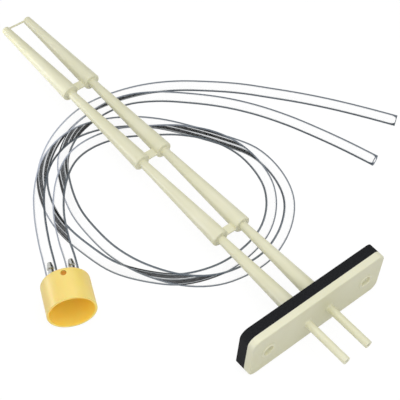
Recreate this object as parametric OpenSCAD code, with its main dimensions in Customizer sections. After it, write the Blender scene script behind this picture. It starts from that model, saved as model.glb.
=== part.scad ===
// Gas sampling kit for an air duct: a one-piece probe with two tubes, the foam
// gasket behind its flange, a cap that goes over the sensor, and the two clear
// hoses that join the cap to the probe's stubs.
// The origin is the middle of the gasket face that seals on the duct. +X points
// out of the duct, +Y runs along the flange and +Z is up. The flange stands on
// its long edge, and the cap and the hoses lie on the same surface.

/* [Flange] */
// Length of the flange
plate_l = 125; // [110:1:150]
// Height of the flange as it stands on its long edge
plate_h = 40; // [32:1:56]
// Thickness of the flange
plate_t = 5.5; // [4:0.5:9]
// Radius of the flange's corners
corner_r = 6.5; // [4:0.5:14]
// Rounding of the flange's front edge
edge_r = 1; // [0.5:0.1:2]
// Distance between the two screw holes
screw_span = 93.5; // [80:0.5:96]
// Diameter of each screw hole
screw_d = 8.5; // [5:0.5:10]
// Width of the raised bead round each screw hole
bead_w = 2.2; // [1.4:0.1:3]
// Height of the bead above the flange
bead_h = 0.8; // [0.3:0.1:1]

/* [Gasket] */
// Thickness of the foam gasket
gasket_t = 8; // [3:0.5:12]
// Room round the tubes in the gasket's opening
gasket_room = 0.8; // [0.3:0.1:1.5]

/* [Probe tubes] */
// Distance between the axes of the two tubes
tube_span = 21; // [18:0.5:26]
// Number of tapered segments along each tube
segments = 4; // [3:1:4]
// Length of one tapered segment
pitch = 91; // [70:1:91]
// Diameter of the shoulder that ends each segment
shoulder_d = 13.8; // [11:0.2:15]
// Diameter at the narrow start of each segment
neck_d = 6.6; // [5.6:0.2:9]
// Diameter of each tube's tip
tip_d = 6.9; // [5.6:0.1:9]
// Rounding of the shoulders and tips
shoulder_r = 1; // [0.3:0.1:1.2]
// Fillet where each neck leaves its shoulder
neck_r = 0.6; // [0.2:0.1:1]
// Diameter of the bore from each tip to its stub
bore_d = 2; // [1.5:0.1:4]
// Length of the webs that tie the tubes at each shoulder
web_l = 7; // [3:0.5:12]
// Length of the web that ties the two tips
tip_web_l = 1; // [1:0.5:4]
// Thickness of all the webs
web_t = 1.2; // [0.8:0.2:4]

/* [Hose stubs] */
// Outer diameter of each stub
stub_d = 6; // [5:0.2:8]
// Length of each stub in front of the flange
stub_l = 39; // [20:1:60]
// Fillet at the root of each stub
root_r = 1.5; // [0.5:0.1:3]

/* [Sensor cap] */
// Outer diameter of the cap
cap_d = 35.5; // [30:0.5:44]
// Length of the cap along its axis
cap_l = 26.5; // [20:0.5:36]
// Thickness of the cap's side wall
cap_wall = 1.5; // [1:0.1:2.5]
// Thickness of the cap's back wall
cap_back = 2; // [1.5:0.1:4]
// Rounding of the cap's back edge
cap_round = 2.5; // [1:0.1:4]
// Diameter of the side hole
vent_d = 4; // [2:0.5:6]
// Distance from the back face to the middle of the side hole
vent_back = 5; // [4.5:0.5:9]
// Angle of the side hole from the top of the cap
vent_turn = 5; // [-15:1:15]
// Place of the mouth's centre along X
cap_x = -93; // [-100:1:-85]
// Place of the mouth's centre along Y
cap_y = -132; // [-145:1:-125]
// Direction in which the mouth faces, about Z
cap_turn = -25; // [-35:1:-15]

/* [Hose barbs] */
// Distance between the axes of the two barbs
barb_span = 15; // [12:0.5:20]
// Number of ridges on each barb
ridges = 3; // [2:1:3]
// Length of each ridge
ridge_l = 5; // [3:0.5:6]
// Widest diameter of each ridge
ridge_d = 5.4; // [4.8:0.1:5.6]
// Diameter of each ridge's narrow end
ridge_tip_d = 3.4; // [3.2:0.1:4.4]
// Length of the groove between the collar and the first ridge
groove_l = 1; // [0.5:0.1:3]
// Diameter of the collar that seats on the cap
collar_d = 7.6; // [7:0.1:10]
// Thickness of the collar
collar_t = 1.5; // [1:0.1:3]
// Diameter of the shank that is pressed through the cap's back wall
shank_d = 4.4; // [3.6:0.1:5.6]
// Length of shank that stands out inside the cap
shank_out = 1; // [0.5:0.1:3]
// Diameter of the barb's bore
barb_bore = 2; // [1:0.1:2.6]
// Radial clearance of the shank in its hole
shank_fit = 0.05; // [0.02:0.01:0.1]

/* [Hoses] */
// Outer diameter of both hoses
hose_d = 9; // [7:0.5:9]
// Inner diameter of both hoses
hose_bore = 6; // [5.9:0.1:6.4]

/* [Hidden] */
$fn = 96;
// Overlap that keeps the cutting shapes clear of the faces that they cut
cut = 1;
// How far each bead reaches into its screw hole before the hole trims it
bead_trim = 0.2;
// Facets of the round corners that the flange's hull is drawn from
hull_fn = 32;
// Sides of a hose's polygon
hose_sides = 12;

// Height of the surface that everything stands on
floor_z = -plate_h / 2;
// Front face of the flange
front_x = gasket_t + plate_t;
// Ends of the tubes inside the duct
tip_x = front_x - segments * pitch;
// Middle of the cap's mouth
cap_mouth = [cap_x, cap_y, floor_z + cap_d / 2];
// Length of each barb behind the cap
barb_l = collar_t + groove_l + ridges * ridge_l;

// Routes of the hoses from the barb tips to their cut ends, as X, Y and the
// height above the surface. Each hose goes round behind the cap, over the probe's
// far end, down its right side, back under the tubes and once more up the left.
LEFT_ROUTE = [
    [-155, -111.5, 17.5], [-178.5, -98.5, 14.5], [-199.5, -83.5, 14], [-218, -63, 14],
    [-226.5, -38, 15], [-228, -12, 10], [-220.5, 14.5, 5], [-203.5, 34.5, 4.5],
    [-181.5, 50.5, 4.5], [-158.5, 64.5, 4.5], [-134.5, 75.5, 4.5], [-108, 75, 4.5],
    [-83.5, 65, 4.5], [-65.5, 45.5, 4.5], [-54.5, 20.5, 4.5], [-52.5, -4, 6],
    [-56.5, -31, 10.5], [-70, -53, 14], [-92, -69, 16], [-118, -75, 12],
    [-145.5, -74, 6], [-171.5, -71, 4.5], [-196.5, -62, 4.5], [-219, -48, 4.5],
    [-234.5, -26.5, 5], [-239.5, -0.5, 7.5], [-237.5, 26.5, 7.5], [-227, 50.5, 6],
    [-210.5, 71.5, 5], [-191.5, 90.5, 4.5], [-169.5, 106.5, 4.5], [-145.5, 119.5, 4.5],
    [-121.5, 129.5, 4.5], [-96.5, 138.5, 4.5], [-70.5, 146.5, 4.5]
];
RIGHT_ROUTE = [
    [-148, -99, 17.5], [-172, -86, 14], [-192, -70, 14.5], [-208, -49, 13.5],
    [-216.5, -24.5, 8], [-214.5, 1.5, 4.5], [-201, 23, 6], [-182.5, 40.5, 11],
    [-160.5, 56.5, 12], [-136.5, 65.5, 9], [-110.5, 64.5, 4.5], [-88.5, 51.5, 4.5],
    [-72.5, 30.5, 4.5], [-65.5, 5.5, 4.5], [-65.5, -20.5, 4.5], [-74.5, -46.5, 4.5],
    [-90.5, -64.5, 4.5], [-112.5, -79.5, 4.5], [-137.5, -86, 4.5], [-164.5, -88.5, 4.5],
    [-190.5, -83.5, 4.5], [-213.5, -71.5, 4.5], [-232, -51.5, 4.5], [-244, -28.5, 4.5],
    [-250, -3.5, 4.5], [-248, 22.5, 4.5], [-240.5, 48.5, 4.5], [-228.5, 71.5, 4.5],
    [-212.5, 92.5, 4.5], [-194.5, 112.5, 4.5], [-175.5, 129.5, 4.5], [-155.5, 146.5, 4.5],
    [-134.5, 162.5, 4.5], [-112.5, 177.5, 4.5], [-90.5, 191.5, 4.5]
];

// Middle of the shoulder that closes segment k, counted from the flange
function shoulder_x(k) = front_x - k * pitch;

// Radius of a tapered segment at a distance from its neck
function cone_r(depth) = (neck_d + (shoulder_d - neck_d) * depth / pitch) / 2;

// A point at a depth behind the cap's back face, on the axis of one barb
function behind_cap(side, depth) =
    cap_mouth
    - (cap_l + depth) * [cos(cap_turn), sin(cap_turn), 0]
    + side * barb_span / 2 * [-sin(cap_turn), cos(cap_turn), 0];

// The whole route of one hose: from the barb's collar, past the barb's tip and on
function hose_path(side, route) = concat(
    [behind_cap(side, collar_t), behind_cap(side, barb_l + cut)],
    [for (p = route) [p.x, p.y, floor_z + p.z]]
);

function unit(v) = v / norm(v);

// Direction of a path at point i, from the point before it to the point after it
function heading(path, i) = unit(path[min(i + 1, len(path) - 1)] - path[max(i - 1, 0)]);

// A ring of points of radius r, square to the path at point i
function ring(path, i, r) =
    let (along = heading(path, i), side = unit(cross(along, [0, 0, 1])), up = cross(side, along))
    [for (k = [0:hose_sides - 1])
        let (a = 360 * k / hose_sides)
        path[i] + r * (cos(a) * side + sin(a) * up)];

function two_triangles(q) = [[q[0], q[1], q[2]], [q[0], q[2], q[3]]];

// Points along an arc about x, y
function arc(x, y, r, from, to) = [for (a = [from:(to - from) / 6:to]) [x + r * cos(a), y + r * sin(a)]];

// Half section of a cylinder of radius r and length l with its far edge rounded
module rounded_section(r, l, round_r) {
    square([r - round_r, l]);
    square([r, l - round_r]);
    translate([r - round_r, l - round_r]) circle(round_r);
}

// Turns a shape that was drawn up Z so that it points along +X from x
module along_x(x) {
    translate([x, 0, 0]) rotate([0, 90, 0]) children();
}

// Repeats a shape at each tube
module at_tubes() {
    for (side = [-1, 1]) translate([0, side * tube_span / 2, 0]) children();
}

// Repeats a shape at each screw hole
module at_screws() {
    for (side = [-1, 1]) translate([0, side * screw_span / 2, 0]) children();
}

// Outline of the flange and the gasket, with its length along Y
module flange_outline() {
    square([plate_h - 2 * corner_r, plate_l], center = true);
    square([plate_h, plate_l - 2 * corner_r], center = true);
    for (i = [-1, 1], j = [-1, 1])
        translate([i * (plate_h / 2 - corner_r), j * (plate_l / 2 - corner_r)]) circle(corner_r);
}

// Flange body, with its front edge rounded all the way round
module flange_body() {
    hull()
        for (i = [-1, 1], j = [-1, 1])
            translate([gasket_t, j * (plate_l / 2 - corner_r), i * (plate_h / 2 - corner_r)])
                rotate([0, 90, 0])
                    rotate_extrude($fn = hull_fn) rounded_section(corner_r, plate_t, edge_r, $fn = hull_fn);
}

// Half section of one tube from its tip: each cone widens to a rounded shoulder,
// where the next one starts again at the neck. The last ends in the flange.
module tube_section() {
    last_l = pitch - plate_t / 2;
    end = (segments - 1) * pitch + last_l;
    polygon(concat(
        [[0, 0]],
        arc(tip_d / 2 - shoulder_r, shoulder_r, shoulder_r, -90, 0),
        [for (k = [1:segments - 1]) each concat(
            arc(shoulder_d / 2 - shoulder_r, k * pitch - shoulder_r, shoulder_r, 0, 90),
            arc(neck_d / 2 + neck_r, k * pitch + neck_r, neck_r, 270, 180)
        )],
        [[cone_r(last_l), end], [0, end]]
    ));
}

// One tube with its tapered segments, inside the duct
module sampling_tube() {
    along_x(tip_x) rotate_extrude() tube_section();
}

// One plain stub for a hose, with the fillet at its root
module hose_stub() {
    along_x(front_x - plate_t / 2) cylinder(d = stub_d, h = plate_t / 2 + stub_l);
    along_x(front_x)
        rotate_extrude()
            difference() {
                square([stub_d / 2 + root_r, root_r]);
                translate([stub_d / 2 + root_r, root_r]) circle(root_r);
            }
}

// Flat webs between the tubes, one at each shoulder and one at the tips
module tube_webs() {
    for (k = [1:segments - 1])
        translate([shoulder_x(k) - web_l, -tube_span / 2, -web_t / 2]) cube([web_l, tube_span, web_t]);
    translate([tip_x, -tube_span / 2, -web_t / 2]) cube([tip_web_l, tube_span, web_t]);
}

// Raised bead round a screw hole, which the hole then trims inside
module screw_bead() {
    middle = (screw_d + bead_w) / 2 - bead_trim;
    along_x(front_x + bead_h - bead_w / 2) rotate_extrude() translate([middle, 0]) circle(d = bead_w);
}

module duct_probe() {
    color("#E2E1C8")
        difference() {
            union() {
                flange_body();
                at_tubes() {
                    sampling_tube();
                    hose_stub();
                }
                tube_webs();
                at_screws() screw_bead();
            }
            at_tubes() along_x(tip_x - cut) cylinder(d = bore_d, h = segments * pitch + stub_l + 2 * cut);
            at_screws() along_x(gasket_t - cut) cylinder(d = screw_d, h = plate_t + bead_h + 2 * cut);
        }
}

// Die-cut foam: the flange's outline, one long opening for both tubes and the
// screw holes
module flange_gasket() {
    opening_d = shoulder_d + 2 * gasket_room;
    color("#26272A")
        along_x(0)
            linear_extrude(gasket_t)
                difference() {
                    flange_outline();
                    square([opening_d, tube_span], center = true);
                    for (side = [-1, 1]) {
                        translate([0, side * tube_span / 2]) circle(d = opening_d);
                        translate([0, side * screw_span / 2]) circle(d = screw_d);
                    }
                }
}

// Places a shape on the lying cap: Z runs from its mouth to its back, X is up
module at_cap() {
    translate(cap_mouth) rotate([0, 0, cap_turn]) rotate([0, -90, 0]) children();
}

module sensor_cap() {
    inside_round = max(cap_round - cap_wall, 0.5);
    color("#F5DE80")
        at_cap()
            difference() {
                rotate_extrude()
                    difference() {
                        rounded_section(cap_d / 2, cap_l, cap_round);
                        translate([0, -cut])
                            rounded_section(cap_d / 2 - cap_wall, cap_l - cap_back + cut, inside_round);
                    }
                for (side = [-1, 1])
                    translate([0, side * barb_span / 2, cap_l - cap_back - cut])
                        cylinder(d = shank_d + 2 * shank_fit, h = cap_back + 2 * cut);
                translate([0, 0, cap_l - vent_back])
                    rotate([0, 90, -vent_turn]) cylinder(d = vent_d, h = cap_d);
            }
}

// A turned barb: a shank through the cap's back wall, a collar that seats on it,
// and a row of ridges that grip the hose
module barb(side) {
    first_ridge = collar_t + groove_l;
    shank_end = -cap_back - shank_out;
    color("#BFC0BC")
        at_cap()
            translate([0, side * barb_span / 2, cap_l])
                rotate_extrude()
                    polygon(concat(
                        [[barb_bore / 2, shank_end], [shank_d / 2, shank_end], [shank_d / 2, 0]],
                        [[collar_d / 2, 0], [collar_d / 2, collar_t]],
                        [[ridge_tip_d / 2, collar_t], [ridge_tip_d / 2, first_ridge]],
                        [for (k = [0:ridges - 1]) each [
                            [ridge_d / 2, first_ridge + k * ridge_l],
                            [ridge_tip_d / 2, first_ridge + (k + 1) * ridge_l]
                        ]],
                        [[barb_bore / 2, barb_l]]
                    ));
}

module barb_left() {
    barb(-1);
}

module barb_right() {
    barb(1);
}

// A hose with its bore, swept along its path as one closed skin
module hose(path) {
    rings = len(path);
    inner = rings * hose_sides;
    color("#C9D2D8", 0.6)
        polyhedron(
            points = concat(
                [for (i = [0:rings - 1]) each ring(path, i, hose_d / 2)],
                [for (i = [0:rings - 1]) each ring(path, i, hose_bore / 2)]
            ),
            faces = concat(
                [for (i = [0:rings - 2], k = [0:hose_sides - 1])
                    let (a = i * hose_sides + k, b = i * hose_sides + (k + 1) % hose_sides)
                    each two_triangles([a, b, b + hose_sides, a + hose_sides])],
                [for (i = [0:rings - 2], k = [0:hose_sides - 1])
                    let (a = inner + i * hose_sides + k, b = inner + i * hose_sides + (k + 1) % hose_sides)
                    each two_triangles([a, a + hose_sides, b + hose_sides, b])],
                [for (k = [0:hose_sides - 1])
                    let (a = k, b = (k + 1) % hose_sides)
                    each two_triangles([a, a + inner, b + inner, b])],
                [for (k = [0:hose_sides - 1])
                    let (a = inner - hose_sides + k, b = inner - hose_sides + (k + 1) % hose_sides)
                    each two_triangles([a, b, b + inner, a + inner])]
            )
        );
}

module hose_left() {
    hose(hose_path(-1, LEFT_ROUTE));
}

module hose_right() {
    hose(hose_path(1, RIGHT_ROUTE));
}

duct_probe();
flange_gasket();
sensor_cap();
barb_left();
barb_right();
hose_left();
hose_right();
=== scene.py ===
"""A gas sampling kit for an air duct, laid out on a white studio floor: a moulded probe with two
tubes and a flange, its foam gasket, a yellow sensor cap with two barbs, and two clear hoses."""
import math

import bmesh
import bpy
from mathutils import Matrix, Vector


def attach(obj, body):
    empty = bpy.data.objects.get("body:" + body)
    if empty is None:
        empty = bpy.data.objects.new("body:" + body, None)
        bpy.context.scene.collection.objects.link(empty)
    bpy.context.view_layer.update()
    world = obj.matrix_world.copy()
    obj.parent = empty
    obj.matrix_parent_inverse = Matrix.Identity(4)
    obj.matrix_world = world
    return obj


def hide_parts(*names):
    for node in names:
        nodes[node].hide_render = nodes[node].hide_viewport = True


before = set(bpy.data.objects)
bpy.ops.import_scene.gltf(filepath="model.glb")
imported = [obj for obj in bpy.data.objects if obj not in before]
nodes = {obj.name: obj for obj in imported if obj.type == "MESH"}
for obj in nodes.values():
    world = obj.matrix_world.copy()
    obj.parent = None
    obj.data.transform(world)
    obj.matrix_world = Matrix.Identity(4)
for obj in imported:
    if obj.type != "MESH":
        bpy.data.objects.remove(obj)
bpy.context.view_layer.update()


# It stands on the side of the stubs.
CAMERA_AT = Vector((0.2819, -0.3945, 0.6813))
CAMERA_AIM = Vector((-0.1145, 0.0009, 0.0))
CAMERA_ROLL = math.radians(6.05)
CAMERA_LENS = 107.05
CAMERA_SENSOR = 36.0


def new_object(name, data):
    """An object in the scene, made of a camera, a lamp or a mesh."""
    thing = bpy.data.objects.new(name, data)
    bpy.context.collection.objects.link(thing)
    return thing


def aim_from(thing, place, aim, roll=0.0):
    """Stands a camera or a lamp at a place and turns it towards its aim."""
    turn = (aim - place).to_track_quat("-Z", "Y").to_matrix().to_4x4()
    thing.matrix_world = Matrix.Translation(place) @ turn @ Matrix.Rotation(roll, 4, "Z")


lens = bpy.data.cameras.new("studio_camera")
lens.lens = CAMERA_LENS
lens.sensor_width = CAMERA_SENSOR
camera = new_object("studio_camera", lens)
aim_from(camera, CAMERA_AT, CAMERA_AIM, CAMERA_ROLL)
bpy.context.scene.camera = camera


# Two clear hoses of soft PVC, extruded with a 9 mm outside and a 6 mm bore and cut
# square with a knife. Each is pushed over one barb of the cap up to its collar, and they
# lie loosely on the floor in one and a half turns under the probe.
FLOOR_Z = -0.020
CAP_OUTSIDE = 0.0355
CAP_LENGTH = 0.0265
CAP_MOUTH = Vector((-0.093, -0.132, FLOOR_Z + CAP_OUTSIDE / 2))
CAP_TURN = math.radians(-25)
BARB_SPACING = 0.015
BARB_LENGTH = 0.0175
BARB_COLLAR = 0.0015
PAST_BARB = 0.001
HOSE_OUTSIDE = 0.009
HOSE_BORE = 0.006
HOSE_SIDES = 28
HOSE_TURNS = [2 * math.pi * k / HOSE_SIDES for k in range(HOSE_SIDES)]
HOSE_STEPS = 5
OUTSIDE_WALL, BORE_WALL, CUT_END = range(3)

# Each route goes from the barb to the free end, as x, y and the height over the floor.
HOSE_LEFT_ROUTE = [
    (-0.155, -0.1115, 0.0175), (-0.1785, -0.0985, 0.0145), (-0.1995, -0.0835, 0.014),
    (-0.218, -0.063, 0.014), (-0.2265, -0.038, 0.015), (-0.228, -0.012, 0.01),
    (-0.2205, 0.0145, 0.005), (-0.2035, 0.0345, 0.0045), (-0.1815, 0.0505, 0.0045),
    (-0.1585, 0.0645, 0.0045), (-0.1345, 0.0755, 0.0045), (-0.108, 0.075, 0.0045),
    (-0.0835, 0.065, 0.0045), (-0.0655, 0.0455, 0.0045), (-0.0545, 0.0205, 0.0045),
    (-0.0525, -0.004, 0.006), (-0.0565, -0.031, 0.0105), (-0.07, -0.053, 0.014),
    (-0.092, -0.069, 0.016), (-0.118, -0.075, 0.012), (-0.1455, -0.074, 0.006),
    (-0.1715, -0.071, 0.0045), (-0.1965, -0.062, 0.0045), (-0.219, -0.048, 0.0045),
    (-0.2345, -0.0265, 0.005), (-0.2395, -0.0005, 0.0075), (-0.2375, 0.0265, 0.0075),
    (-0.227, 0.0505, 0.006), (-0.2105, 0.0715, 0.005), (-0.1915, 0.0905, 0.0045),
    (-0.1695, 0.1065, 0.0045), (-0.1455, 0.1195, 0.0045), (-0.1215, 0.1295, 0.0045),
    (-0.0965, 0.1385, 0.0045), (-0.0705, 0.1465, 0.0045),
]
HOSE_RIGHT_ROUTE = [
    (-0.148, -0.099, 0.0175), (-0.172, -0.086, 0.014), (-0.192, -0.07, 0.0145),
    (-0.208, -0.049, 0.0135), (-0.2165, -0.0245, 0.008), (-0.2145, 0.0015, 0.0045),
    (-0.201, 0.023, 0.006), (-0.1825, 0.0405, 0.011), (-0.1605, 0.0565, 0.012),
    (-0.1365, 0.0655, 0.009), (-0.1105, 0.0645, 0.0045), (-0.0885, 0.0515, 0.0045),
    (-0.0725, 0.0305, 0.0045), (-0.0655, 0.0055, 0.0045), (-0.0655, -0.0205, 0.0045),
    (-0.0745, -0.0465, 0.0045), (-0.0905, -0.0645, 0.0045), (-0.1125, -0.0795, 0.0045),
    (-0.1375, -0.086, 0.0045), (-0.1645, -0.0885, 0.0045), (-0.1905, -0.0835, 0.0045),
    (-0.2135, -0.0715, 0.0045), (-0.232, -0.0515, 0.0045), (-0.244, -0.0285, 0.0045),
    (-0.25, -0.0035, 0.0045), (-0.248, 0.0225, 0.0045), (-0.2405, 0.0485, 0.0045),
    (-0.2285, 0.0715, 0.0045), (-0.2125, 0.0925, 0.0045), (-0.1945, 0.1125, 0.0045),
    (-0.1755, 0.1295, 0.0045), (-0.1555, 0.1465, 0.0045), (-0.1345, 0.1625, 0.0045),
    (-0.1125, 0.1775, 0.0045), (-0.0905, 0.1915, 0.0045),
]


def behind_cap(side, depth):
    """A point on the axis of one barb, at a depth behind the cap's back face."""
    facing = Vector((math.cos(CAP_TURN), math.sin(CAP_TURN), 0))
    across = Vector((-facing.y, facing.x, 0))
    return CAP_MOUTH - (CAP_LENGTH + depth) * facing + side * BARB_SPACING / 2 * across


def smooth_point(a, b, c, d, t):
    """The point at t from b to c, on the smooth curve that goes through all four."""
    square = 2 * a - 5 * b + 4 * c - d
    cube = 3 * b - a - 3 * c + d
    return 0.5 * (2 * b + (c - a) * t + square * t**2 + cube * t**3)


def hose_path(side, route):
    """The hose's centre line as one smooth curve through its route's points."""
    knots = [behind_cap(side, BARB_COLLAR), behind_cap(side, BARB_LENGTH + PAST_BARB)]
    knots += [Vector((x, y, FLOOR_Z + height)) for x, y, height in route]
    knots = [2 * knots[0] - knots[1], *knots, 2 * knots[-1] - knots[-2]]
    path = []
    for four in zip(knots, knots[1:], knots[2:], knots[3:]):
        for step in range(HOSE_STEPS):
            point = smooth_point(*four, step / HOSE_STEPS)
            point.z = max(point.z, FLOOR_Z + HOSE_OUTSIDE / 2)
            path.append(point)
    path.append(knots[-2])
    return path


def direction(path, index):
    """The way that a path runs at one of its points."""
    return (path[min(index + 1, len(path) - 1)] - path[max(index - 1, 0)]).normalized()


def circle_round(path, index, radius):
    """A circle of points square to a path at one of its points."""
    along = direction(path, index)
    across = along.cross(Vector((0, 0, 1))).normalized()
    up = across.cross(along)
    return [path[index] + radius * (math.cos(turn) * across + math.sin(turn) * up)
            for turn in HOSE_TURNS]


def new_piece(name, shape):
    """An object of a finished bmesh, shaded smooth."""
    bmesh.ops.recalc_face_normals(shape, faces=shape.faces)
    mesh = bpy.data.meshes.new(name)
    shape.to_mesh(mesh)
    shape.free()
    mesh.shade_smooth()
    return new_object(name, mesh)


def skin_between(shape, first, second, material):
    """Joins two closed loops of points with a band of faces."""
    for k in range(len(first)):
        n = (k + 1) % len(first)
        face = shape.faces.new((first[k], first[n], second[n], second[k]))
        face.material_index = material


def hose_mesh(name, path):
    """A hollow hose: its outside, its bore and the two cut ends. Each point keeps the hose's
    own direction, its turn round the hose with its distance along it, and whether it lies
    on a cut end."""
    shape = bmesh.new()
    axis = shape.verts.layers.float_vector.new("hose_axis")
    place = shape.verts.layers.float_vector.new("wall_place")
    at_cut = shape.verts.layers.float.new("at_cut")
    outside, bore = [], []
    distance = 0.0
    for i, middle in enumerate(path):
        distance += (middle - path[max(i - 1, 0)]).length
        for rings, radius in ((outside, HOSE_OUTSIDE / 2), (bore, HOSE_BORE / 2)):
            rings.append([shape.verts.new(p) for p in circle_round(path, i, radius)])
            for turn, point in zip(HOSE_TURNS, rings[-1]):
                point[axis] = direction(path, i)
                point[place] = (math.cos(turn), math.sin(turn), distance)
                point[at_cut] = float(i in (0, len(path) - 1))
    for wall, rings in ((OUTSIDE_WALL, outside), (BORE_WALL, bore)):
        for ring, following in zip(rings, rings[1:]):
            skin_between(shape, ring, following, wall)
    for end in (0, -1):
        skin_between(shape, outside[end], bore[end], CUT_END)
    return new_piece(name, shape)


def linear(colour):
    """An sRGB hex colour as the linear colour that a shader takes."""
    parts = [int(colour[i:i + 2], 16) / 255 for i in (1, 3, 5)]
    return [c / 12.92 if c <= 0.04045 else ((c + 0.055) / 1.055) ** 2.4 for c in parts] + [1.0]


def add(owner, kind, settings=None, **links):
    """Adds a node to a material or the world, with its settings. A link names an input, or
    numbers it after a _, and gives a value or another node's output."""
    node = owner.node_tree.nodes.new(kind)
    for name, value in (settings or {}).items():
        setattr(node, name, value)
    for name, value in links.items():
        socket = node.inputs[int(name[1:]) if name[0] == "_" else name.replace("_", " ")]
        if isinstance(value, bpy.types.NodeSocket):
            owner.node_tree.links.new(value, socket)
        else:
            socket.default_value = value
    return node


def calc(owner, operation, *values):
    """One step of arithmetic, and its result."""
    links = {"_%d" % k: value for k, value in enumerate(values)}
    return add(owner, "ShaderNodeMath", {"operation": operation}, **links).outputs[0]


def ramp(owner, source, stops):
    """A colour ramp through (place, colour or grey) stops."""
    node = add(owner, "ShaderNodeValToRGB", Fac=source)
    elements = node.color_ramp.elements
    while len(elements) < len(stops):
        elements.new(0.5)
    for element, (place, colour) in zip(elements, stops):
        element.position = place
        element.color = linear(colour) if isinstance(colour, str) else (colour,) * 3 + (1,)
    return node.outputs["Color"]


def mix(owner, factor, first, second):
    """A colour between two others, each a hex colour or a node's output."""
    first, second = (linear(c) if isinstance(c, str) else c for c in (first, second))
    node = add(owner, "ShaderNodeMix", {"data_type": "RGBA"}, Factor=factor, _6=first, _7=second)
    return node.outputs[2]


def noise(owner, place, density, detail=2.0):
    """A cloudy pattern from 0 to 1. Its density is in patches per metre, the same every way
    or one number for each axis."""
    if isinstance(density, tuple):
        place = add(owner, "ShaderNodeMapping", Vector=place, Scale=density).outputs[0]
        density = 1.0
    node = add(owner, "ShaderNodeTexNoise", Vector=place, Scale=density, Detail=detail)
    return node.outputs["Fac"]


def bumps(owner, height, strength, depth):
    """The normal of a surface that is uneven by a depth in metres."""
    node = add(owner, "ShaderNodeBump", Strength=strength, Distance=depth, Height=height)
    return node.outputs["Normal"]


def frame_place(owner):
    """Where a point lies in the shared frame, since every object sits at its origin."""
    return add(owner, "ShaderNodeTexCoord").outputs["Object"]


def new_material(name):
    """An empty material, ready for its nodes."""
    material = bpy.data.materials.new(name)
    material.use_nodes = True
    material.node_tree.nodes.clear()
    return material


def finish_with(material, shader):
    """Makes a shader the surface of its material."""
    add(material, "ShaderNodeOutputMaterial", Surface=shader.outputs[0])
    return material


def principled(material, **looks):
    """Finishes a material with the shader that most real surfaces need."""
    return finish_with(material, add(material, "ShaderNodeBsdfPrincipled", **looks))


PVC_INDEX = 1.53
# The way towards the lamps at the left, where the hose lines are painted paler.
PAINTED_LIGHT_SIDE = (-0.86, -0.44, 0.25)
PALE_LINE_THINNER = 0.08
STREAKS_ROUND_HOSE = 8.0
STREAK_DRIFT = 6.0
WALLS_PASSED = 1.5
LIGHT_LET_THROUGH = 0.9


def from_side(material, axis):
    """How far the eye looks past the hose's side: 0 at both sides and 1 along its middle,
    whichever way the hose runs."""
    towards_wall = add(material, "ShaderNodeLayerWeight", Blend=0.5).outputs["Facing"]
    towards_axis = add(material, "ShaderNodeLayerWeight", Blend=0.5, Normal=axis).outputs["Facing"]
    head_on = calc(material, "SUBTRACT", 1.0, towards_wall)
    lengthwise = calc(material, "SUBTRACT", 1.0, towards_axis)
    crosswise = calc(material, "SUBTRACT", 1.0, calc(material, "POWER", lengthwise, 2.0))
    return calc(material, "DIVIDE", head_on, calc(material, "SQRT", crosswise))


def side_lines(material, normal, mist, outer):
    """The colour of a hose's two lines: slate, and painted paler and bluer on the outside of a
    loop, most of all where the wall faces the lamps at the left. That paleness is painted light."""
    # Painted light: the lines turn paler where the wall faces the lamps, on the outside of a loop.
    to_lamps = add(material, "ShaderNodeVectorMath", {"operation": "DOT_PRODUCT"},
                   _0=normal, _1=PAINTED_LIGHT_SIDE).outputs["Value"]
    slate = ramp(material, mist, [(0.35, "#66707A"), (0.65, "#363F48")])
    lit = ramp(material, to_lamps, [(0.3, "#78808A"), (0.95, "#AEB5C4")])
    return mix(material, outer, slate, lit)


def painted_bent_light(material, streaks, axis, across):
    """The colour of a hose behind another: painted shade, nearly black, with thin painted pale
    streaks, and painted a little lighter along its middle at the near side of the loops. It stands
    in for the light that the hose in front bends away."""
    # Painted shade, with painted pale streaks.
    streak = ramp(material, streaks, [(0.1, "#040507"), (0.58, "#0E1114"), (0.8, "#343A40"),
                                      (0.93, "#7A8187"), (1.0, "#D4D8DC")])
    run_x = add(material, "ShaderNodeSeparateXYZ", Vector=axis).outputs["X"]
    # Painted light: a little lighter along the middle, depending on which way the hose runs.
    lighter = calc(material, "MULTIPLY_ADD", run_x, -0.16, 0.1)
    middle = ramp(material, across, [(0.7, 0.0), (1.0, 1.0)])
    return mix(material, calc(material, "MULTIPLY", middle, lighter), streak, "#8E9296")


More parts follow.
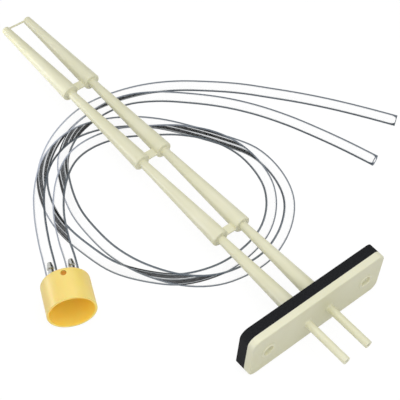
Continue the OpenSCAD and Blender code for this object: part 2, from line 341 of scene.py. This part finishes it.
def clear_pvc(name, full_to, gone_at, strength, hides_next):
    """Clear soft PVC shows only where the eye looks along the wall, so the middle of the hose lets
    everything through and its two sides draw slate lines. A line is full up to full_to of the way
    from the side to the middle, and gone at gone_at. Light that has come through one hose is bent
    past the next one, so a hose that lies behind another is painted dark, with fine painted streaks
    along it: painted shade for that bent light. Only the outside wall does that, and hides_next is
    its strength."""
    material = new_material(name)
    axis = add(material, "ShaderNodeAttribute", {"attribute_name": "hose_axis"}).outputs["Vector"]
    place = add(material, "ShaderNodeAttribute", {"attribute_name": "wall_place"}).outputs["Vector"]
    at_cut = add(material, "ShaderNodeAttribute", {"attribute_name": "at_cut"}).outputs["Fac"]
    geometry = add(material, "ShaderNodeNewGeometry").outputs
    rays = add(material, "ShaderNodeLightPath").outputs

    across = from_side(material, axis)
    mist = noise(material, place, (2.0, 2.0, 6.0))
    turn_x, turn_y = add(material, "ShaderNodeSeparateXYZ", Vector=place).outputs[:2]
    outwards = calc(material, "MULTIPLY_ADD", turn_x, -0.5, 0.5)
    outer = ramp(material, outwards, [(0.3, 0.0), (0.7, 1.0)])
    # The painted pale lines on the outside of a loop are also drawn thinner.
    reach = calc(material, "MULTIPLY_ADD", outer, PALE_LINE_THINNER, across)
    lines = ramp(material, reach, [(full_to, strength), (gone_at, 0.0)])
    rim = ramp(material, at_cut, [(0.88, 0.0), (0.91, strength)])
    lines = calc(material, "MAXIMUM", lines, rim)

    turn = calc(material, "ARCTAN2", turn_y, turn_x)
    drift = calc(material, "MULTIPLY", mist, STREAK_DRIFT)
    wave = calc(material, "SINE", calc(material, "MULTIPLY_ADD", turn, STREAKS_ROUND_HOSE, drift))
    streaks = calc(material, "MULTIPLY_ADD", wave, 0.5, 0.5)
    gaps = ramp(material, streaks, [(0.9, 1.0), (1.0, 0.5)])
    # Painted shade: a wall seen through another hose is drawn dark.
    passed = calc(material, "GREATER_THAN", rays["Transparent Depth"], WALLS_PASSED)
    near_wall = calc(material, "SUBTRACT", 1.0, geometry["Backfacing"])
    behind = calc(material, "MULTIPLY", passed, near_wall)
    hidden = calc(material, "MULTIPLY", gaps, hides_next)

    tint = mix(material, behind, side_lines(material, geometry["Normal"], mist, outer),
               painted_bent_light(material, streaks, axis, across))
    drawn = calc(material, "MAXIMUM", lines, calc(material, "MULTIPLY", behind, hidden))
    lighting = calc(material, "MAXIMUM", rays["Is Shadow Ray"], rays["Is Diffuse Ray"])
    shade = calc(material, "MULTIPLY_ADD", lighting, -LIGHT_LET_THROUGH, 1.0)
    return principled(material, Base_Color=tint, Roughness=0.35, IOR=PVC_INDEX,
                      Specular_IOR_Level=0.15, Alpha=calc(material, "MULTIPLY", drawn, shade))


def cut_pvc():
    """A knife leaves the end of a PVC hose slightly frosted, so its ring shows grey, with
    drag marks across it that are about 0.2 mm apart."""
    material = new_material("cut_pvc_end")
    marks = noise(material, frame_place(material), (400.0, 400.0, 5000.0))
    tint = ramp(material, marks, [(0.35, "#525C66"), (0.65, "#626C76")])
    return principled(material, Base_Color=tint, Roughness=0.6, IOR=PVC_INDEX, Alpha=0.35,
                      Normal=bumps(material, marks, 0.2, 0.00005))


pvc = [clear_pvc("clear_pvc_wall", full_to=0.66, gone_at=0.78, strength=1.0, hides_next=0.95),
       clear_pvc("clear_pvc_bore", full_to=0.34, gone_at=0.54, strength=0.12, hides_next=0.0),
       cut_pvc()]
for side, name, route in ((-1, "left", HOSE_LEFT_ROUTE), (1, "right", HOSE_RIGHT_ROUTE)):
    path = hose_path(side, route)
    hose = hose_mesh("clear_hose_" + name, path)
    for material in pvc:
        hose.data.materials.append(material)
    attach(hose, "root")
    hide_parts("hose_" + name)


# The probe is one moulding of ivory ABS: a flange, two stepped tubes that reach into the
# duct, the webs that tie them, and two plain stubs. The mould was lightly spark eroded,
# which leaves a fine even grain and a soft satin shine.
SCREW_SPAN = 0.0935
SCREW_HOLE = 0.0085
FLANGE_FACE = 0.0135
WITHIN = 0.0001
# Strength of the painted light that lightens the screw holes' walls.
HOLE_PAINTED_LIGHT = 0.12


def from_axis(owner, aside, height):
    """How far a point lies from an axis, from its two distances across it."""
    squares = [calc(owner, "POWER", distance, 2.0) for distance in (aside, height)]
    return calc(owner, "SQRT", calc(owner, "ADD", *squares))


def ivory_abs():
    """Satin ABS, a little uneven in colour where it cooled slower, with a grain of just under a
    millimetre. The flange's face is given far less shine, so it is matt and shows the ivory deeper:
    painted shade on that face. The walls of the screw holes glow a little, painted light for the
    light that soaks into them, so they don't look black."""
    material = new_material("ivory_abs")
    place = frame_place(material)
    clouds = noise(material, place, 24.0, detail=3.0)
    tint = ramp(material, clouds, [(0.35, "#DEDCBD"), (0.65, "#E4E2C7")])
    grain = noise(material, place, 1200.0, detail=1.0)
    along, aside, height = add(material, "ShaderNodeSeparateXYZ", Vector=place).outputs
    # Painted shade: the flange's face gets far less shine, so it renders darker and deeper in
    # colour.
    on_face = calc(material, "COMPARE", along, FLANGE_FACE, WITHIN)
    gloss = calc(material, "MULTIPLY_ADD", on_face, -0.42, 0.5)
    # Painted light: the walls of the screw holes glow a little, so they don't look black.
    to_screw = calc(material, "SUBTRACT", calc(material, "ABSOLUTE", aside), SCREW_SPAN / 2)
    off_screw = from_axis(material, to_screw, height)
    in_hole = calc(material, "LESS_THAN", off_screw, SCREW_HOLE / 2 + WITHIN / 2)
    return principled(material, Base_Color=tint, Roughness=0.42, IOR=1.54,
                      Specular_IOR_Level=gloss, Subsurface_Weight=0.2,
                      Subsurface_Radius=(1.0, 0.9, 0.6), Subsurface_Scale=0.002,
                      Normal=bumps(material, grain, 0.05, 0.0002), Emission_Color=tint,
                      Emission_Strength=calc(material, "MULTIPLY", in_hole, HOLE_PAINTED_LIGHT))


def coat(node, material):
    """Gives a CAD piece its real material."""
    for slot in nodes[node].material_slots:
        slot.material = material


coat("duct_probe", ivory_abs())


# The gasket is die cut from closed-cell neoprene foam, near black, with the flange's own
# outline. Its cut edges show the open cells.
def neoprene_foam():
    """Dull foam, with cells of under a millimetre, drawn a little coarse so that they show."""
    material = new_material("neoprene_foam")
    cells = add(material, "ShaderNodeTexVoronoi", Vector=frame_place(material),
                Scale=1400.0).outputs["Distance"]
    tint = ramp(material, cells, [(0.1, "#0B0C0E"), (0.7, "#1D1E21")])
    return principled(material, Base_Color=tint, Roughness=0.9, Specular_IOR_Level=0.2,
                      Normal=bumps(material, cells, 0.3, 0.0003))


coat("flange_gasket", neoprene_foam())


# The sensor cap is a thin-walled moulding of pale yellow polypropylene, made to be pushed
# over the sensor's head. It lies on its side, with its mouth towards the flange.
CAP_WALL = 0.0015
CAP_BACK = 0.002
VENT_WIDTH = 0.004
VENT_BACK = 0.005
VENT_ASIDE = -0.0015
VENT_AT = (VENT_BACK - CAP_LENGTH, VENT_ASIDE, CAP_OUTSIDE / 2)
VENT_WITHIN = 0.00008
# How far from the vent the painted shade of the closed end reaches.
VENT_SHADE_REACH = 0.012
# The painted glow inside the cap: its strength at the mouth and what it loses towards the back.
PAINTED_GLOW_AT_MOUTH = 0.12
PAINTED_GLOW_LOST_INSIDE = 0.09


def along_cap(owner, place):
    """Turns a place so that the axes of the cap and its barbs run along x."""
    node = add(owner, "ShaderNodeVectorRotate", {"rotation_type": "Z_AXIS"}, Vector=place,
               Angle=-CAP_TURN)
    return node.outputs[0]


def yellow_polypropylene():
    """Glossy polypropylene with a little yellow pigment. Light soaks through the thin wall, so the
    inside is painted a richer yellow and given a painted glow, most of all near the mouth. The
    closed end by the vent is painted a deeper amber as shade, and the vent's own wall is painted
    darkest as shade in the hole."""
    material = new_material("yellow_polypropylene")
    place = frame_place(material)
    from_mouth = add(material, "ShaderNodeVectorMath", {"operation": "SUBTRACT"}, _0=place,
                     _1=CAP_MOUTH)
    lying = along_cap(material, from_mouth.outputs[0])
    depth, across, up = add(material, "ShaderNodeSeparateXYZ", Vector=lying).outputs
    off_axis = from_axis(material, across, up)
    in_wall = calc(material, "LESS_THAN", off_axis, CAP_OUTSIDE / 2 - CAP_WALL / 2)
    in_back = calc(material, "GREATER_THAN", depth, CAP_BACK / 2 - CAP_LENGTH)
    inside = calc(material, "MULTIPLY", in_wall, in_back)
    to_vent = add(material, "ShaderNodeVectorMath", {"operation": "SUBTRACT"}, _0=lying, _1=VENT_AT)
    from_vent = add(material, "ShaderNodeVectorMath", {"operation": "LENGTH"},
                    _0=to_vent.outputs[0]).outputs["Value"]
    in_vent = calc(material, "LESS_THAN", from_vent, VENT_WIDTH / 2 + VENT_WITHIN)
    # Painted shade: inside the cap, deeper amber near the vent.
    amber = calc(material, "DIVIDE", from_vent, VENT_SHADE_REACH)
    painted_shade_near_vent = ramp(material, amber, [(0.4, 1.0), (0.9, 0.0)])

    pale = ramp(material, noise(material, place, 30.0), [(0.35, "#F2D771"), (0.65, "#F5DD7F")])
    # Painted light: the inside of the cap is a richer yellow than the outside.
    tint = mix(material, inside, pale, "#F8D866")
    tint = mix(material, calc(material, "MULTIPLY", inside, painted_shade_near_vent), tint, "#DEA62C")
    # Painted shade: the vent's own wall is the darkest.
    tint = mix(material, in_vent, tint, "#8F5A10")
    # Painted glow inside the cap, strongest at the mouth.
    glow = calc(material, "MULTIPLY_ADD", depth, PAINTED_GLOW_LOST_INSIDE / CAP_LENGTH, PAINTED_GLOW_AT_MOUTH)
    return principled(material, Base_Color=tint, Roughness=0.42, IOR=1.49,
                      Specular_IOR_Level=0.8, Subsurface_Weight=0.6,
                      Subsurface_Radius=(1.0, 0.55, 0.15), Subsurface_Scale=0.003,
                      Emission_Color=linear("#FFD850"),
                      Emission_Strength=calc(material, "MULTIPLY", inside, glow))


coat("sensor_cap", yellow_polypropylene())


# Each barb is turned from brass and nickel plated. Its shank is pressed through the cap's
# back wall, and the hose goes over its three ridges.
def nickel_plate():
    """Bright nickel over turning marks: rings round the barb, about 0.2 mm apart, smear its
    reflection a little."""
    material = new_material("nickel_plate")
    marks = noise(material, along_cap(material, frame_place(material)), (6000.0, 300.0, 300.0))
    tint = ramp(material, marks, [(0.35, "#B6B7B3"), (0.65, "#C8C9C5")])
    gloss = ramp(material, marks, [(0.3, 0.18), (0.7, 0.27)])
    return principled(material, Base_Color=tint, Metallic=1.0, Roughness=gloss,
                      Normal=bumps(material, marks, 0.1, 0.00002))


plate = nickel_plate()
coat("barb_left", plate)
coat("barb_right", plate)


# The studio: a white floor that keeps a faint shadow, an even white sky, three lamps and a
# black card.
FLOOR_SIZE = 6.0
FLOOR_GAP = 0.0002
FLOOR_GLOW = 0.91
SKY_LIGHT = 0.65
ORIGIN = Vector((0.0, 0.0, 0.0))


def flat_sheet(name, size, material):
    """A square sheet that belongs to the studio."""
    shape = bmesh.new()
    bmesh.ops.create_grid(shape, x_segments=1, y_segments=1, size=size / 2)
    sheet = new_piece(name, shape)
    sheet.data.materials.append(material)
    return sheet


def directly_seen(owner):
    rays = add(owner, "ShaderNodeLightPath").outputs
    seen = calc(owner, "MAXIMUM", rays["Is Camera Ray"], rays["Is Transmission Ray"])
    return calc(owner, "MAXIMUM", seen, rays["Is Glossy Ray"])


def white_floor():
    """A floor that glows by itself, so it is pure white to the eye but still takes a shadow."""
    material = new_material("white_floor")
    shaded = add(material, "ShaderNodeBsdfDiffuse", Color=linear("#606060"))
    lit = add(material, "ShaderNodeEmission", Color=(1, 1, 1, 1), Strength=FLOOR_GLOW)
    as_seen = add(material, "ShaderNodeAddShader", _0=shaded.outputs[0], _1=lit.outputs[0])
    as_light = add(material, "ShaderNodeBsdfDiffuse", Color=linear("#E4E4E4"))
    return finish_with(material, add(material, "ShaderNodeMixShader", _0=directly_seen(material),
                                     _1=as_light.outputs[0], _2=as_seen.outputs[0]))


floor = flat_sheet("studio_floor", FLOOR_SIZE, white_floor())
floor.location.z = FLOOR_Z - FLOOR_GAP

sky = bpy.data.worlds.new("studio_sky")
bpy.context.scene.world = sky
sky.use_nodes = True
sky.node_tree.nodes.clear()
sky_light = add(sky, "ShaderNodeBackground", Color=(1, 1, 1, 1), Strength=SKY_LIGHT)
sky_seen = add(sky, "ShaderNodeBackground", Color=(1, 1, 1, 1), Strength=1.0)
sky_mix = add(sky, "ShaderNodeMixShader", _0=directly_seen(sky), _1=sky_light.outputs[0],
              _2=sky_seen.outputs[0])
add(sky, "ShaderNodeOutputWorld", Surface=sky_mix.outputs[0])


def area_lamp(name, size, watts, place, aim):
    """A soft lamp of a width and a height, turned towards its aim."""
    light = bpy.data.lights.new(name, "AREA")
    light.shape = "RECTANGLE"
    light.size, light.size_y = size
    light.energy = watts
    lamp = new_object(name, light)
    aim_from(lamp, Vector(place), Vector(aim))
    return lamp


# A softbox hangs over the stubs, so the probe gets a little paler towards them.
softbox = area_lamp("softbox", (0.5, 0.5), 1.0, (0.03, -0.1, 0.42), ORIGIN)
softbox.visible_camera = False

# A low strip light stands at the left. Only shine shows it, as a pale band along the cap.
strip_light = area_lamp("strip_light", (1.0, 0.3), 7.0, (-0.65, -0.9, 0.08), ORIGIN)
strip_light.visible_diffuse = False

# A small lamp near the tips lights the left tube from its side, and the right tube's tip
# lies in its shade.
side_light = area_lamp("side_light", (0.06, 0.03), 0.08, (-0.34, -0.15, 0.012), (-0.32, 0.0, 0.0))
side_light.visible_camera = False
side_light.visible_glossy = False

# A black card stands beyond the hoses. Only the metal shows it, as a dark side on each barb.
CARD_SIZE = 1.0
CARD_STRETCH = (2.4, 0.8, 1.0)
CARD_AT = (-0.2, 0.9, 0.45)

matt_black = new_material("black_card")
finish_with(matt_black, add(matt_black, "ShaderNodeBsdfDiffuse", Color=linear("#101010")))
card = flat_sheet("black_card", CARD_SIZE, matt_black)
card.scale = CARD_STRETCH
card.rotation_euler = (math.radians(90), 0, 0)
card.location = CARD_AT
card.visible_camera = False
card.visible_diffuse = False
card.visible_shadow = False

bpy.context.scene.view_settings.view_transform = "Standard"
